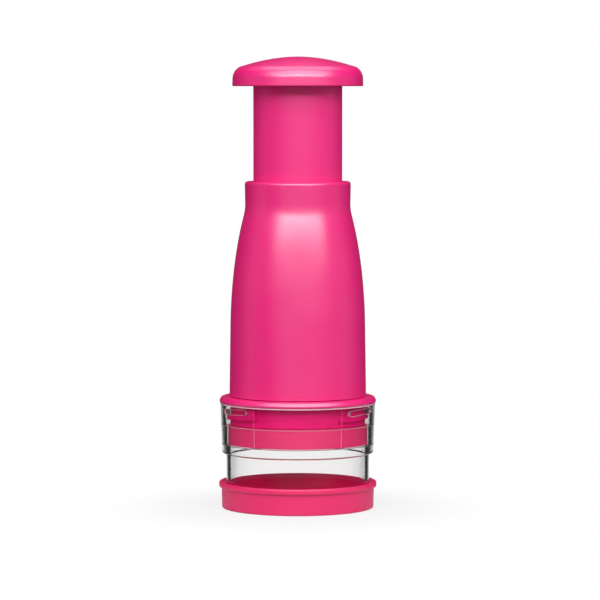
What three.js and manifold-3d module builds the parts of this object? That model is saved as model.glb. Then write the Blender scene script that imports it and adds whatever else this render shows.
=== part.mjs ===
// Press-down vegetable chopper, in millimetres with +Z up. The origin is on the axis at the underside of
// the base cap, and the front is towards -Y. Azimuths are degrees from the front, anticlockwise from above.
// Radii are worked out from the blade outwards and heights from the base upwards, so a piece follows the
// one that it fits.
import * as THREE from "three";
import { mergeVertices, toCreasedNormals } from "three/addons/utils/BufferGeometryUtils.js";
import Module from "manifold-3d";

const wasm = await Module();
wasm.setup();

// Clearances, cutters and minor edges
const seatGap = 0.3; // between pieces that rest on or fit into each other
const runGap = 0.4; // round what slides or turns
const overrun = 2; // how far a cutter passes what it cuts
const smallEdge = 0.5; // rounding of a minor edge
const weldDistance = 1e-4; // vertices nearer than this are one

// Facets
const wideSteps = 32; // round a shell
const narrowSteps = 20; // round a small turned piece
const filletSteps = 2;
const curveSteps = 8; // along the housing's shoulder
const creaseAngle = 0.6; // radians, above which an edge stays sharp
const cornerRounds = 8; // rounds that place the blade's corners
const halvings = 40; // of the shoulder, to find the point at a height
const hexagonSides = 6;

// Blade: one steel strip folded to and fro across the circle
const bladeReach = 30.9;
const bladeThickness = 0.8;
const bladeBend = 1.4; // radius of each fold, at the middle of the strip
const bladeLegs = 5;
const bladeSpreadShare = 0.82; // half the width over which the folds are spread, of the reach
const bladeEdgeRise = 0.8; // cutting edge above the wiper disc's underside, at rest
const bladeFloorGap = 0.3; // left under the edge with the knob fully down
const sharpenedHeight = 1.4;
const cuttingEdge = 0.16; // thickness left at the sharpened edge
const bladeTongue = 3.5; // held in the carrier

// Blade carrier
const carrierRim = 1; // beyond the blade
const carrierPlate = 4.5;
const carrierLift = 0.7; // above the wiper disc with the knob fully down
const carrierHubRadius = 9.5;
const carrierHubHeight = 9;
const carrierHubFloor = 1;
const carrierRibs = 6;
const carrierRibThickness = 1.6;
const carrierRibHeight = 6;
const carrierRibToe = 1.5;

// Spindle, a lobed bar twisted to a steep helix
const spindleLead = 215;
const spindleLobes = 4;
const spindleRadius = 4.4; // middle of the lobes
const spindleLobeDepth = 0.7;
const spindleLobePoints = 20;
const spindleTwistStep = 5; // height between its sections
const spindleFlats = 10; // across the hexagonal foot
const spindleShaftRadius = 3.6;
const spindleJournalRadius = 3;
const spindleCollarRadius = 6;
const spindleCollarHeight = 2.5;
const spindleRunOut = 2; // flutes past the nut at each end of the stroke

// Cross pin in the foot
const pinRadius = 1.5;
const pinHeight = 4.1; // above the hub's floor

// Screw and washers at the spindle's top
const screwRadius = 1.5;
const screwLength = 9;
const screwHeadRadius = 3.2;
const screwHeadHeight = 2.2;
const screwSocketFlats = 2.6;
const screwSocketDepth = 1.3;
const washerThickness = 0.8;
const washerRadius = 7;
const journalRise = 0.2; // journal above the web, so that the screw never pinches it

// Wiper disc and the ring that carries it
const slotGap = 0.4; // each side of the blade
const discThickness = 2.2;
const discRim = 3.7; // beyond the blade
const discLift = 0.6; // free height over the disc
const ringOpeningGap = 0.7; // between blade and lip
const ringLip = 1.8;
const ringWall = 2.3;
const ringHeight = 10.5;

// Bayonet collar
const spigotStep = 0.3; // spigot bore over the frame's bore
const spigotWall = 1.7;
const spigotHeight = 9.3;
const mouthStep = 0.7; // lower bore over the spigot's bore
const mouthWall = 1.55;
const mouthHeight = 6.5;
const skirtSetback = 1.15; // skirt inside the wiper ring
const skirtWall = 2.1;
const flangeThickness = 2.7;
const flangeRise = 0.4; // slope of its top
const flangeOverhang = 0.2; // beyond the cup
const flangeEdge = 0.9;

// Cup
const cupWall = 3.3;
const cupDraft = 1.1; // the upper part is this much narrower at its lower end
const cupSeatGap = 0.65; // round the wiper ring
const cupLedge = 1.7;
const cupLowerWall = 2;
const cupLowerDraft = 0.35;
const chamberHeight = 32.3; // foot to inner ledge
const cupMouthHeight = 22.2; // inner ledge to rim
const cupSeatHeight = 10.4; // of the narrower bore over the ledge
const cupStepDrop = 5.1; // outer step under the inner ledge
const cupStepEdge = 2.4;
const cupEdge = 0.5;

// Bayonet: lugs in the cup over ribs on the collar
const lugCount = 3;
const lugAzimuth = 60;
const lugSpan = 32;
const ribSpan = 48;
const lugHeight = 3.1;
const lugDrop = 3.6; // lug centre under the cup's rim
const lugTiltShare = 0.043; // rise for each length round the wall
const ribHeight = 2.5;
const ribDepth = 1.6;
const ribEdge = 0.8;
const stopGap = 0.5;
const lineWidth = 0.7; // fine upright line at each end of a rib's sector
const lineDepth = 0.4;

// Base cap
const baseFloor = 2.2;
const baseHeight = 14.3;
const baseWall = 2.1;
const baseDraft = 0.25;
const baseCorner = 0.8;
const rimHeight = 3;
const rimOverhang = 1.35;
const rimEdge = 1.1;
const leadInDepth = 2.2;
const leadInWidth = 1.5;

// Guide frame
const frameWall = 1.2;
const frameHubGap = 1.9; // over the carrier's hub
const framePlate = 2.5;
const frameRim = 3;
const frameLegs = 3;
const frameLegSpan = 34;
const frameWindows = 6;
const frameWindowSpan = 38;
const frameHubWall = 2.8;
const frameWindowMargin = 1.5;

// Ratchet nut, its spring and cap
const nutWall = 3.8; // round the lobes
const nutHeight = 8;
const toothCount = 12;
const toothHeight = 1.2;
const nutSpringSpace = 5;
const nutSpringWire = 0.8;
const nutSpringTurns = 2.5;
const nutCapPlate = 1.6;
const nutCapWall = 1.1;
const nutCapSkirt = 4;

// Housing
const housingWall = 2.25;
const housingLedge = 2.2;
const plungerReserve = 14.7; // left under the plunger with the knob fully down
const neckSeatDrop = 6.7; // bush seat under the straight neck
const neckHeight = 15.1;
const neckFlare = 0.3;
const neckLip = 2.2;
const neckEdge = 1;
const neckBlend = 25; // radius of the hollow between neck and shoulder
const bodyTaper = 0.55; // narrower at the ledge than at the foot
const shoulderSlopeShare = 0.276; // outward run for each drop, where the shoulder leaves the neck
const shoulderReachShare = 0.337; // of the shoulder's height, held by that slope
const bodyReachShare = 0.3; // of the shoulder's height, held along the taper

// Plunger and neck bush
const plungerRadius = 23.9;
const plungerWall = 2;
const plungerFlange = 3;
const plungerWebRise = 40.8; // from its lower end
const plungerWeb = 3;
const bushWall = 1.5;
const bushFlange = 1.5;
const bushFlangeGap = 0.5; // inside the housing

// Return spring
const springWire = 1.6;
const springTurns = 12;
const springEndGap = 0.5; // between the closed turns at its ends
const springRoom = 1.9; // outside the nut's cap
const springTurnSteps = 12;
const smallTurnSteps = 10;
const wireSides = 5;

// Knob
const knobOverhang = 11.3; // lower edge beyond the tube
const knobShoulder = 9.2; // where the crown meets the side, beyond the tube
const knobHeight = 15.9;
const knobCrown = 6.2; // height of the crown over the shoulder
const knobCrownPower = 1.9;
const knobCrownSteps = 5;
const knobEdge = 2.6;
const knobFlare = 0.5; // lower edge beyond the side's top
const knobWall = 2.5;
const knobSleeveWall = 2;
const knobSleeveRise = 1.6; // sleeve's lower end over the knob's edge
const knobClearance = 15.5; // between knob and neck with the knob fully down
const knobRibs = 6;
const knobRibThickness = 1.4;
const knobRibRise = 6.5; // ribs' lower edge over the knob's edge

// Radii, from the blade outwards
const carrierRadius = bladeReach + carrierRim;
const frameBore = carrierRadius + runGap;
const frameRadius = frameBore + frameWall;
const spigotBore = frameBore + spigotStep;
const spigotRadius = spigotBore + spigotWall;
const mouthBore = spigotBore + mouthStep;
const mouthRadius = mouthBore + mouthWall;
const ringBore = mouthRadius + seatGap;
const ringRadius = ringBore + ringWall;
const ringOpening = bladeReach + ringOpeningGap;
const discRadius = bladeReach + discRim;
const skirtRadius = ringRadius - skirtSetback;
const lugRadius = skirtRadius + runGap;
const ribRadius = skirtRadius + ribDepth;
const lineRadius = ribRadius + runGap;
const cupMouthRadius = lineRadius + lineDepth;
const cupRimRadius = cupMouthRadius + cupWall;
const cupStepRadius = cupRimRadius - cupDraft;
const cupSeatRadius = ringRadius + cupSeatGap;
const cupBore = cupSeatRadius - cupLedge;
const cupFootRadius = cupBore + cupLowerWall;
const cupLowerRadius = cupFootRadius + cupLowerDraft;
const flangeRadius = cupRimRadius + flangeOverhang;
const baseBore = cupLowerRadius + seatGap;
const baseRadius = baseBore + baseWall;
const rimRadius = baseRadius + rimOverhang;
const housingBore = Math.max(spigotRadius, frameRadius + bodyTaper) + seatGap;
const housingRadius = housingBore + housingWall;
const bushBore = plungerRadius + seatGap;
const bushRadius = bushBore + bushWall;
const neckBore = bushRadius + seatGap;
const neckRadius = neckBore + housingWall;
const nutRadius = spindleRadius + spindleLobeDepth + nutWall;
const frameHubBore = nutRadius + seatGap;
const frameHubRadius = frameHubBore + frameHubWall;
const nutCapRadius = frameHubRadius + seatGap + nutCapWall;
const springRadius = nutCapRadius + springRoom;
const fluteRadius = spindleRadius + spindleLobeDepth + runGap;

// Heights, from the base upwards
const cupFoot = baseFloor + seatGap;
const cupLedgeTop = cupFoot + chamberHeight;
const cupRim = cupLedgeTop + cupMouthHeight;
const cupStep = cupLedgeTop - cupStepDrop;
const ringBottom = cupLedgeTop + seatGap;
const discBottom = ringBottom + ringLip + seatGap;
const discTop = discBottom + discThickness;
const mouthBottom = discTop + discLift;
const ringTop = ringBottom + ringHeight;
const skirtBottom = ringTop + seatGap;
const flangeBottom = cupRim + seatGap;
const flangeTop = flangeBottom + flangeThickness + flangeRise;
const housingBottom = flangeTop + seatGap;
const spigotTop = housingBottom + spigotHeight;
const bladeEdge = discBottom + bladeEdgeRise;
const stroke = bladeEdge - baseFloor - bladeFloorGap;
const carrierBottom = discTop + stroke + carrierLift;
const carrierTop = carrierBottom + carrierPlate;
const carrierHubTop = carrierTop + carrierHubHeight;
const spindleFoot = carrierTop + carrierHubFloor + seatGap;
const frameBottom = spigotTop + seatGap;
const framePlateBottom = carrierHubTop + frameHubGap;
const framePlateTop = framePlateBottom + framePlate;
const frameTop = framePlateTop + frameRim;
const nutBottom = framePlateTop + toothHeight + seatGap;
const nutTop = nutBottom + nutHeight;
const frameHubTop = nutTop + nutSpringSpace;
const housingLedgeBottom = frameTop + seatGap;
const housingLedgeTop = housingLedgeBottom + housingLedge;
const plungerBottom = housingLedgeTop + stroke + plungerReserve;
const plungerFlangeTop = plungerBottom + plungerFlange;
const bushBottom = plungerFlangeTop + seatGap;
const neckSeat = bushBottom + bushFlange + seatGap;
const neckBottom = neckSeat + neckSeatDrop;
const neckTop = neckBottom + neckHeight;
const knobBottom = neckTop + stroke + knobClearance;
const knobTop = knobBottom + knobHeight;
const webBottom = plungerBottom + plungerWebRise;
const webTop = webBottom + plungerWeb;
const thrustTop = webBottom - seatGap;
const spindleShoulder = thrustTop - washerThickness - seatGap;
const journalTop = webTop + journalRise;
const springTop = thrustTop - washerThickness - seatGap;

// Solids
const degrees = THREE.MathUtils.degToRad;

function solid(geometry) {
  const bare = geometry.index ? geometry.toNonIndexed() : geometry.clone();
  bare.deleteAttribute("normal");
  bare.deleteAttribute("uv");
  const welded = mergeVertices(bare, weldDistance);
  const corners = welded.index.array;
  const faces = [];
  for (let i = 0; i < corners.length; i += 3) {
    const [a, b, c] = [corners[i], corners[i + 1], corners[i + 2]];
    if (a !== b && b !== c && c !== a) faces.push(a, b, c);
  }
  const mesh = new wasm.Mesh({
    numProp: 3,
    vertProperties: welded.attributes.position.array,
    triVerts: new Uint32Array(faces),
  });
  return new wasm.Manifold(mesh);
}

function geometryOf(body) {
  const mesh = body.getMesh();
  const geometry = new THREE.BufferGeometry();
  geometry.setAttribute("position", new THREE.BufferAttribute(mesh.vertProperties, 3));
  geometry.setIndex(new THREE.BufferAttribute(mesh.triVerts, 1));
  return toCreasedNormals(geometry, creaseAngle);
}

function joined(body, additions) {
  return additions.reduce((whole, addition) => whole.add(addition), body);
}

function cut(body, cutters) {
  return cutters.reduce((whole, cutter) => whole.subtract(cutter), body);
}

// Points through corners of the form [x, y, fillet], where each fillet is an arc no longer than its sides.
function outline(corners) {
  const places = corners.map(([x, y]) => new THREE.Vector2(x, y));
  const points = [];
  corners.forEach(([, , fillet = 0], i) => {
    const corner = places[i];
    if (fillet === 0) {
      points.push(corner);
      return;
    }
    const back = places[(i + places.length - 1) % places.length].clone().sub(corner);
    const ahead = places[(i + 1) % places.length].clone().sub(corner);
    const halfSide = Math.min(back.length(), ahead.length()) / 2;
    back.normalize();
    ahead.normalize();
    const halfAngle = Math.acos(THREE.MathUtils.clamp(back.dot(ahead), -1, 1)) / 2;
    const reach = Math.min(fillet / Math.tan(halfAngle), halfSide);
    const radius = reach * Math.tan(halfAngle);
    const middle = back.clone().add(ahead).normalize();
    const centre = corner.clone().addScaledVector(middle, radius / Math.sin(halfAngle));
    const start = corner.clone().addScaledVector(back, reach).sub(centre);
    const sweep = Math.PI - 2 * halfAngle;
    const side = Math.sign(back.x * ahead.y - back.y * ahead.x);
    for (let step = 0; step <= filletSteps; step += 1) {
      const turn = (-side * sweep * step) / filletSteps;
      points.push(start.clone().rotateAround(new THREE.Vector2(), turn).add(centre));
    }
  });
  return points;
}

// A body turned about Z from a closed outline of [radius, height, fillet] corners.
function turned(corners, steps = wideSteps) {
  const points = outline(corners);
  if (THREE.ShapeUtils.area(points) < 0) points.reverse();
  const geometry = new THREE.LatheGeometry([...points, points[0]], steps);
  return solid(geometry.rotateX(Math.PI / 2));
}

function ring(inner, outer, bottom, top, steps = wideSteps) {
  return turned([[inner, bottom], [outer, bottom], [outer, top], [inner, top]], steps);
}

function disc(radius, bottom, top, steps = wideSteps) {
  return ring(0, radius, bottom, top, steps);
}

// A straight prism over a closed outline of points.
function prism(points, bottom, top) {
  const geometry = new THREE.ExtrudeGeometry(new THREE.Shape(points), {
    depth: top - bottom,
    bevelEnabled: false,
  });
  return solid(geometry.translate(0, 0, bottom));
}

// A prism whose outline stands upright on the wall at an azimuth: x runs anticlockwise, y up, depth outwards.
function wallPrism(points, inner, outer, azimuth, height) {
  const geometry = new THREE.ExtrudeGeometry(new THREE.Shape(points), {
    depth: outer - inner,
    bevelEnabled: false,
  });
  const angle = degrees(azimuth);
  const along = new THREE.Vector3(Math.cos(angle), Math.sin(angle), 0);
  const outwards = new THREE.Vector3(Math.sin(angle), -Math.cos(angle), 0);
  const place = new THREE.Matrix4().makeBasis(along, new THREE.Vector3(0, 0, 1), outwards);
  geometry.translate(0, 0, inner).applyMatrix4(place);
  return solid(geometry.translate(0, 0, height));
}

function azimuths(count, first) {
  return Array.from({ length: count }, (_, i) => first + (360 * i) / count);
}

// A wedge of a ring, centred on an azimuth.
function sector(inner, outer, bottom, top, azimuth, span) {
  const half = degrees(span / 2);
  const reach = outer + overrun;
  const points = [
    new THREE.Vector2(0, 0),
    new THREE.Vector2(-reach * Math.tan(half), reach),
    new THREE.Vector2(reach * Math.tan(half), reach),
  ];
  const geometry = new THREE.ExtrudeGeometry(new THREE.Shape(points), {
    depth: top - bottom,
    bevelEnabled: false,
  });
  geometry.translate(0, 0, bottom).rotateZ(degrees(azimuth + 180));
  return ring(inner, outer, bottom, top).intersect(solid(geometry));
}

function hexagon(flats) {
  const radius = flats / Math.sqrt(3);
  return azimuths(hexagonSides, 0).map((angle) => {
    return new THREE.Vector2(radius * Math.cos(degrees(angle)), radius * Math.sin(degrees(angle)));
  });
}

function cylinderAlongX(radius, length, height) {
  const geometry = new THREE.CylinderGeometry(radius, radius, length, narrowSteps);
  return solid(geometry.rotateZ(Math.PI / 2).translate(0, 0, height));
}

// Folded strip

// Corners [x, y, fillet] whose rounded folds reach the blade's circle. A corner lies past its fold, by an
// amount that depends on its neighbours, so it is found in a few rounds.
function foldedLine() {
  const spread = bladeReach * bladeSpreadShare;
  const tipCircle = bladeReach - bladeThickness;
  const xs = Array.from({ length: bladeLegs + 1 }, (_, i) => spread * ((2 * i) / bladeLegs - 1));
  const tips = xs.map((x) => Math.sqrt(tipCircle ** 2 - x ** 2));
  let corners = tips;
  for (let round = 0; round < cornerRounds; round += 1) {
    corners = corners.map((corner, i) => {
      if (i === 0 || i === bladeLegs) return corner;
      const run = (xs[i + 1] - xs[i - 1]) / 2;
      const rise = corner + (corners[i - 1] + corners[i + 1]) / 2;
      return tips[i] + bladeBend / Math.sin(Math.atan(run / rise)) - bladeBend;
    });
  }
  return xs.map((x, i) => [x, corners[i] * (i % 2 ? 1 : -1), i % bladeLegs ? bladeBend : 0]);
}

// The strip's outline at a half thickness, lengthened at both ends.
function foldedStrip(halfThickness, lengthened) {
  const corners = foldedLine();
  const line = outline(corners);
  const last = line.length - 1;
  const sides = [1, -1].map((side) => {
    return line.map((point, i) => {
      const before = line[Math.max(i - 1, 0)];
      const after = line[Math.min(i + 1, last)];
      const into = point.clone().sub(before).normalize();
      const out = after.clone().sub(point).normalize();
      const along = into.clone().add(out).normalize();
      const mitre = i === 0 || i === last ? 1 : along.dot(out);
      const across = new THREE.Vector2(-along.y, along.x).multiplyScalar((side * halfThickness) / mitre);
      const stretch = i === 0 ? -lengthened : i === last ? lengthened : 0;
      return point.clone().add(across).addScaledVector(along, stretch);
    });
  });
  return [...sides[0], ...sides[1].reverse()];
}

function bladeStrip(bottom, top) {
  const thick = foldedStrip(bladeThickness / 2, 0);
  const thin = foldedStrip(cuttingEdge / 2, 0);
  const body = prism(thick, bottom + sharpenedHeight, top);
  const geometry = new THREE.ExtrudeGeometry(new THREE.Shape(thick), {
    depth: sharpenedHeight,
    bevelEnabled: false,
  });
  const place = geometry.attributes.position;
  for (let i = 0; i < place.count; i += 1) {
    if (place.getZ(i) > sharpenedHeight / 2) continue;
    const here = new THREE.Vector2(place.getX(i), place.getY(i));
    const distances = thick.map((point) => point.distanceTo(here));
    const edge = thin[distances.indexOf(Math.min(...distances))];
    place.setXY(i, edge.x, edge.y);
  }
  return body.add(solid(geometry.translate(0, 0, bottom)));
}

// Lobed bar and its bore, twisted along Z

function lobedBar(extra, bottom, top) {
  const points = Array.from({ length: spindleLobePoints }, (_, i) => {
    const angle = (2 * Math.PI * i) / spindleLobePoints;
    const radius = spindleRadius + extra + spindleLobeDepth * Math.cos(spindleLobes * angle);
    return new THREE.Vector2(radius * Math.cos(angle), radius * Math.sin(angle));
  });
  const geometry = new THREE.ExtrudeGeometry(new THREE.Shape(points), {
    depth: top - bottom,
    steps: Math.max(1, Math.round((top - bottom) / spindleTwistStep)),
    bevelEnabled: false,
  });
  geometry.translate(0, 0, bottom);
  const place = geometry.attributes.position;
  for (let i = 0; i < place.count; i += 1) {
    const turn = (2 * Math.PI * place.getZ(i)) / spindleLead;
    const point = new THREE.Vector2(place.getX(i), place.getY(i));
    point.rotateAround(new THREE.Vector2(), turn);
    place.setXY(i, point.x, point.y);
  }
  return solid(geometry);
}

// Wound wire with a closed turn at each end, as one tube

function woundLine(radius, wire, bottom, top, turns, turnSteps) {
  const closedPitch = wire + springEndGap;
  const low = bottom + wire / 2;
  const high = top - wire / 2;
  const openPitch = (high - low - 2 * closedPitch) / (turns - 2);
  const count = Math.round(turns * turnSteps);
  return Array.from({ length: count + 1 }, (_, i) => {
    const turn = (turns * i) / count;
    const closed = Math.min(turn, 1) + Math.max(turn - turns + 1, 0);
    const height = low + closedPitch * closed + openPitch * (turn - closed);
    const angle = 2 * Math.PI * turn;
    return new THREE.Vector3(radius * Math.cos(angle), radius * Math.sin(angle), height);
  });
}

function wireTube(line, wire) {
  const positions = [];
  const rings = line.map((point, i) => {
    const before = line[Math.max(i - 1, 0)];
    const after = line[Math.min(i + 1, line.length - 1)];
    const along = after.clone().sub(before).normalize();
    const outwards = new THREE.Vector3(point.x, point.y, 0).normalize();
    const across = along.clone().cross(outwards).normalize();
    return Array.from({ length: wireSides }, (_, side) => {
      const angle = (2 * Math.PI * side) / wireSides;
      return point
        .clone()
        .addScaledVector(outwards, (wire / 2) * Math.cos(angle))
        .addScaledVector(across, (wire / 2) * Math.sin(angle));
    });
  });
  const face = (...points) => points.forEach((point) => positions.push(point.x, point.y, point.z));
  for (let i = 0; i + 1 < rings.length; i += 1) {
    for (let side = 0; side < wireSides; side += 1) {
      const next = (side + 1) % wireSides;
      face(rings[i][side], rings[i + 1][next], rings[i + 1][side]);
      face(rings[i][side], rings[i][next], rings[i + 1][next]);
    }
  }
  const end = rings[rings.length - 1];
  for (let side = 1; side + 1 < wireSides; side += 1) {
    face(rings[0][0], rings[0][side + 1], rings[0][side]);
    face(end[0], end[side], end[side + 1]);
  }
  const geometry = new THREE.BufferGeometry();
  geometry.setAttribute("position", new THREE.Float32BufferAttribute(positions, 3));
  return solid(geometry);
}

// The least distance between turns of a wound line, less the wire.
function selfGap(line, wire, turnSteps) {
  let least = Infinity;
  for (let i = 0; i < line.length; i += 1) {
    for (let j = i + Math.ceil(turnSteps / 2); j < line.length; j += 1) {
      least = Math.min(least, line[i].distanceTo(line[j]) - wire);
    }
  }
  return least;
}

// Housing's side: a slight taper up to its ledge, then a curved shoulder

const shoulderRadius = housingRadius - bodyTaper;
const shoulderHeight = neckBottom - housingLedgeTop;
const taperSlope = bodyTaper / (housingLedgeTop - housingBottom);

const shoulder = new THREE.CubicBezierCurve(
  new THREE.Vector2(shoulderRadius, housingLedgeTop),
  new THREE.Vector2(
    shoulderRadius - taperSlope * shoulderHeight * bodyReachShare,
    housingLedgeTop + shoulderHeight * bodyReachShare,
  ),
  new THREE.Vector2(
    neckRadius + shoulderSlopeShare * shoulderHeight * shoulderReachShare,
    neckBottom - shoulderHeight * shoulderReachShare,
  ),
  new THREE.Vector2(neckRadius, neckBottom),
);

function bodyRadiusAt(height) {
  if (height < housingLedgeTop) return housingRadius - taperSlope * (height - housingBottom);
  let low = 0;
  let high = 1;
  for (let i = 0; i < halvings; i += 1) {
    const middle = (low + high) / 2;
    if (shoulder.getPoint(middle).y < height) low = middle;
    else high = middle;
  }
  return shoulder.getPoint(low).x;
}

const housingBoreAt = (height) => bodyRadiusAt(height) - housingWall;
const flangeFit = housingBoreAt(neckSeat) - bushFlangeGap;

// Base and cup

function baseCap() {
  return turned([
    [0, 0],
    [baseRadius - baseDraft, 0, baseCorner],
    [baseRadius, baseHeight - rimHeight],
    [rimRadius, baseHeight - rimHeight, rimEdge],
    [rimRadius, baseHeight, rimEdge],
    [baseBore + leadInWidth, baseHeight, rimEdge / 2],
    [baseBore, baseHeight - leadInDepth],
    [baseBore, baseFloor],
    [0, baseFloor],
  ]);
}

const lugAzimuths = azimuths(lugCount, lugAzimuth);
const lugLevel = cupRim - lugDrop;
const lugHalf = ribRadius * Math.sin(degrees(lugSpan / 2));
const ribHalf = ribRadius * Math.sin(degrees(ribSpan / 2));

function tilted(points) {
  const tilt = Math.atan(lugTiltShare);
  return points.map((point) => point.clone().rotateAround(new THREE.Vector2(), tilt));
}

function cupLug(azimuth) {
  const half = lugHeight / 2;
  const slot = tilted(outline([
    [-lugHalf, -half, half],
    [lugHalf, -half, half],
    [lugHalf, half, half],
    [-lugHalf, half, half],
  ]));
  const band = ring(lugRadius, cupMouthRadius + overrun / 2, cupLedgeTop, cupRim);
  return wallPrism(slot, lugRadius - overrun, cupRimRadius, azimuth, lugLevel).intersect(band);
}

function cupLine(azimuth) {
  const half = lineWidth / 2;
  const upright = (low, high) => [
    new THREE.Vector2(-half, low),
    new THREE.Vector2(half, low),
    new THREE.Vector2(half, high),
    new THREE.Vector2(-half, high),
  ];
  const seat = upright(cupLedgeTop - overrun / 2, cupLedgeTop + cupSeatHeight);
  const mouth = upright(cupLedgeTop + cupSeatHeight - overrun / 2, cupRim - cupEdge);
  return wallPrism(seat, cupSeatRadius - lineDepth / 2, cupSeatRadius + overrun / 2, azimuth, 0)
    .add(wallPrism(mouth, lineRadius, cupMouthRadius + overrun / 2, azimuth, 0));
}

function choppingCup() {
  const shell = turned([
    [cupBore, cupFoot, cupEdge],
    [cupFootRadius, cupFoot, cupEdge],
    [cupLowerRadius, cupStep],
    [cupStepRadius, cupStep, cupStepEdge],
    [cupRimRadius, cupRim, cupEdge],
    [cupMouthRadius, cupRim, cupEdge],
    [cupMouthRadius, cupLedgeTop + cupSeatHeight],
    [cupSeatRadius, cupLedgeTop + cupSeatHeight],
    [cupSeatRadius, cupLedgeTop],
    [cupBore, cupLedgeTop, cupEdge],
  ]);
  const lines = lugAzimuths.flatMap((azimuth) => [azimuth - ribSpan / 2, azimuth + ribSpan / 2]);
  return joined(shell, [...lugAzimuths.map(cupLug), ...lines.map(cupLine)]);
}

// Collar, wiper ring and disc

function collarRib(azimuth) {
  const top = -lugHeight / 2 - seatGap;
  const stop = lugHalf + stopGap;
  const shape = tilted(outline([
    [-ribHalf, top - ribHeight, ribEdge],
    [ribHalf, top - ribHeight, ribEdge],
    [ribHalf, lugHeight / 2, ribEdge],
    [stop, lugHeight / 2],
    [stop, top],
    [-ribHalf, top, ribEdge],
  ]));
  const band = ring(skirtRadius - skirtWall / 2, ribRadius, skirtBottom, flangeBottom);
  return wallPrism(shape, mouthBore, ribRadius + overrun, azimuth, lugLevel).intersect(band);
}

function bayonetCollar() {
  const skirtBore = skirtRadius - skirtWall;
  const mouthTop = mouthBottom + mouthHeight;
  const shell = turned([
    [mouthBore, mouthBottom],
    [mouthRadius, mouthBottom, smallEdge],
    [mouthRadius, skirtBottom],
    [skirtRadius, skirtBottom],
    [skirtRadius, flangeBottom],
    [flangeRadius, flangeBottom, flangeEdge],
    [flangeRadius, flangeBottom + flangeThickness, flangeEdge],
    [housingRadius, flangeTop],
    [spigotRadius, flangeTop],
    [spigotRadius, spigotTop, smallEdge],
    [spigotBore, spigotTop],
    [spigotBore, flangeBottom + flangeThickness],
    [skirtBore, flangeBottom],
    [skirtBore, mouthTop + skirtBore - mouthBore],
    [mouthBore, mouthTop],
  ]);
  return joined(shell, lugAzimuths.map(collarRib));
}

function wiperRing() {
  return turned([
    [ringOpening, ringBottom, smallEdge],
    [ringRadius, ringBottom, smallEdge],
    [ringRadius, ringTop, smallEdge],
    [ringBore, ringTop],
    [ringBore, ringBottom + ringLip],
    [ringOpening, ringBottom + ringLip],
  ]);
}

function wiperDisc() {
  const strip = foldedStrip(bladeThickness / 2 + slotGap, slotGap);
  return disc(discRadius, discBottom, discTop).subtract(prism(strip, discBottom - overrun, discTop + overrun));
}

// Blade unit

function bladeCarrier() {
  const body = turned([
    [0, carrierBottom],
    [carrierRadius, carrierBottom, smallEdge],
    [carrierRadius, carrierTop, smallEdge],
    [carrierHubRadius, carrierTop],
    [carrierHubRadius, carrierHubTop, smallEdge],
    [0, carrierHubTop],
  ]);
  const ribInner = carrierHubRadius - overrun / 2;
  const ribOuter = carrierRadius - carrierRim;
  const ribSide = [
    new THREE.Vector2(ribInner, -overrun / 2),
    new THREE.Vector2(ribOuter, -overrun / 2),
    new THREE.Vector2(ribOuter, carrierRibToe),
    new THREE.Vector2(ribInner, carrierRibHeight),
  ];
  const ribs = azimuths(carrierRibs, 0).map((azimuth) => {
    const geometry = new THREE.ExtrudeGeometry(new THREE.Shape(ribSide), {
      depth: carrierRibThickness,
      bevelEnabled: false,
    });
    geometry.translate(0, 0, -carrierRibThickness / 2).rotateX(Math.PI / 2);
    return solid(geometry.rotateZ(degrees(azimuth)).translate(0, 0, carrierTop));
  });
  const slot = prism(
    foldedStrip(bladeThickness / 2 + seatGap, seatGap),
    carrierBottom - overrun,
    carrierBottom + bladeTongue,
  );
  const socketFloor = carrierTop + carrierHubFloor;
  const socket = prism(hexagon(spindleFlats + 2 * seatGap), socketFloor, carrierHubTop + overrun);
  const pinHole = cylinderAlongX(pinRadius + seatGap, 2 * carrierRadius, pinLevel());
  return cut(joined(body, ribs), [slot, socket, pinHole]);
}

function pinLevel() {
  return carrierTop + carrierHubFloor + pinHeight;
}

function zigzagBlade() {
  return bladeStrip(bladeEdge, carrierBottom + bladeTongue - seatGap);
}

function carrierPin() {
  return cylinderAlongX(pinRadius, 2 * (carrierHubRadius - seatGap), pinLevel());
}

function helixSpindle() {
  const fluteBottom = carrierHubTop + seatGap;
  const fluteTop = nutTop + stroke + spindleRunOut;
  const flutes = lobedBar(0, fluteBottom, fluteTop);
  const foot = prism(hexagon(spindleFlats), spindleFoot, fluteBottom + seatGap);
  const shaft = turned([
    [0, fluteTop - overrun],
    [spindleShaftRadius, fluteTop - overrun],
    [spindleShaftRadius, spindleShoulder - spindleCollarHeight],
    [spindleCollarRadius, spindleShoulder - spindleCollarHeight],
    [spindleCollarRadius, spindleShoulder],
    [spindleJournalRadius, spindleShoulder],
    [spindleJournalRadius, journalTop],
    [0, journalTop],
  ], narrowSteps);
  const screwHole = disc(
    screwRadius + seatGap,
    journalTop - screwLength - seatGap,
    journalTop + overrun,
    narrowSteps,
  );
  const pinHole = cylinderAlongX(pinRadius + seatGap, 2 * spindleFlats, pinLevel());
  return cut(joined(flutes, [foot, shaft]), [screwHole, pinHole]);
}

const retainerBottom = journalTop + seatGap;
const screwSeat = retainerBottom + washerThickness + seatGap;

function spindleScrew() {
  const body = turned([
    [0, journalTop - screwLength],
    [screwRadius, journalTop - screwLength],
    [screwRadius, screwSeat],
    [screwHeadRadius, screwSeat],
    [screwHeadRadius, screwSeat + screwHeadHeight, smallEdge],
    [0, screwSeat + screwHeadHeight],
  ], narrowSteps);
  const headTop = screwSeat + screwHeadHeight;
  return body.subtract(prism(hexagon(screwSocketFlats), headTop - screwSocketDepth, headTop + overrun));
}

function retainingWasher() {
  return ring(screwRadius + seatGap, washerRadius, retainerBottom, retainerBottom + washerThickness, narrowSteps);
}

function thrustWasher() {
  return ring(spindleJournalRadius + seatGap, washerRadius, thrustTop - washerThickness, thrustTop, narrowSteps);
}

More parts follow.
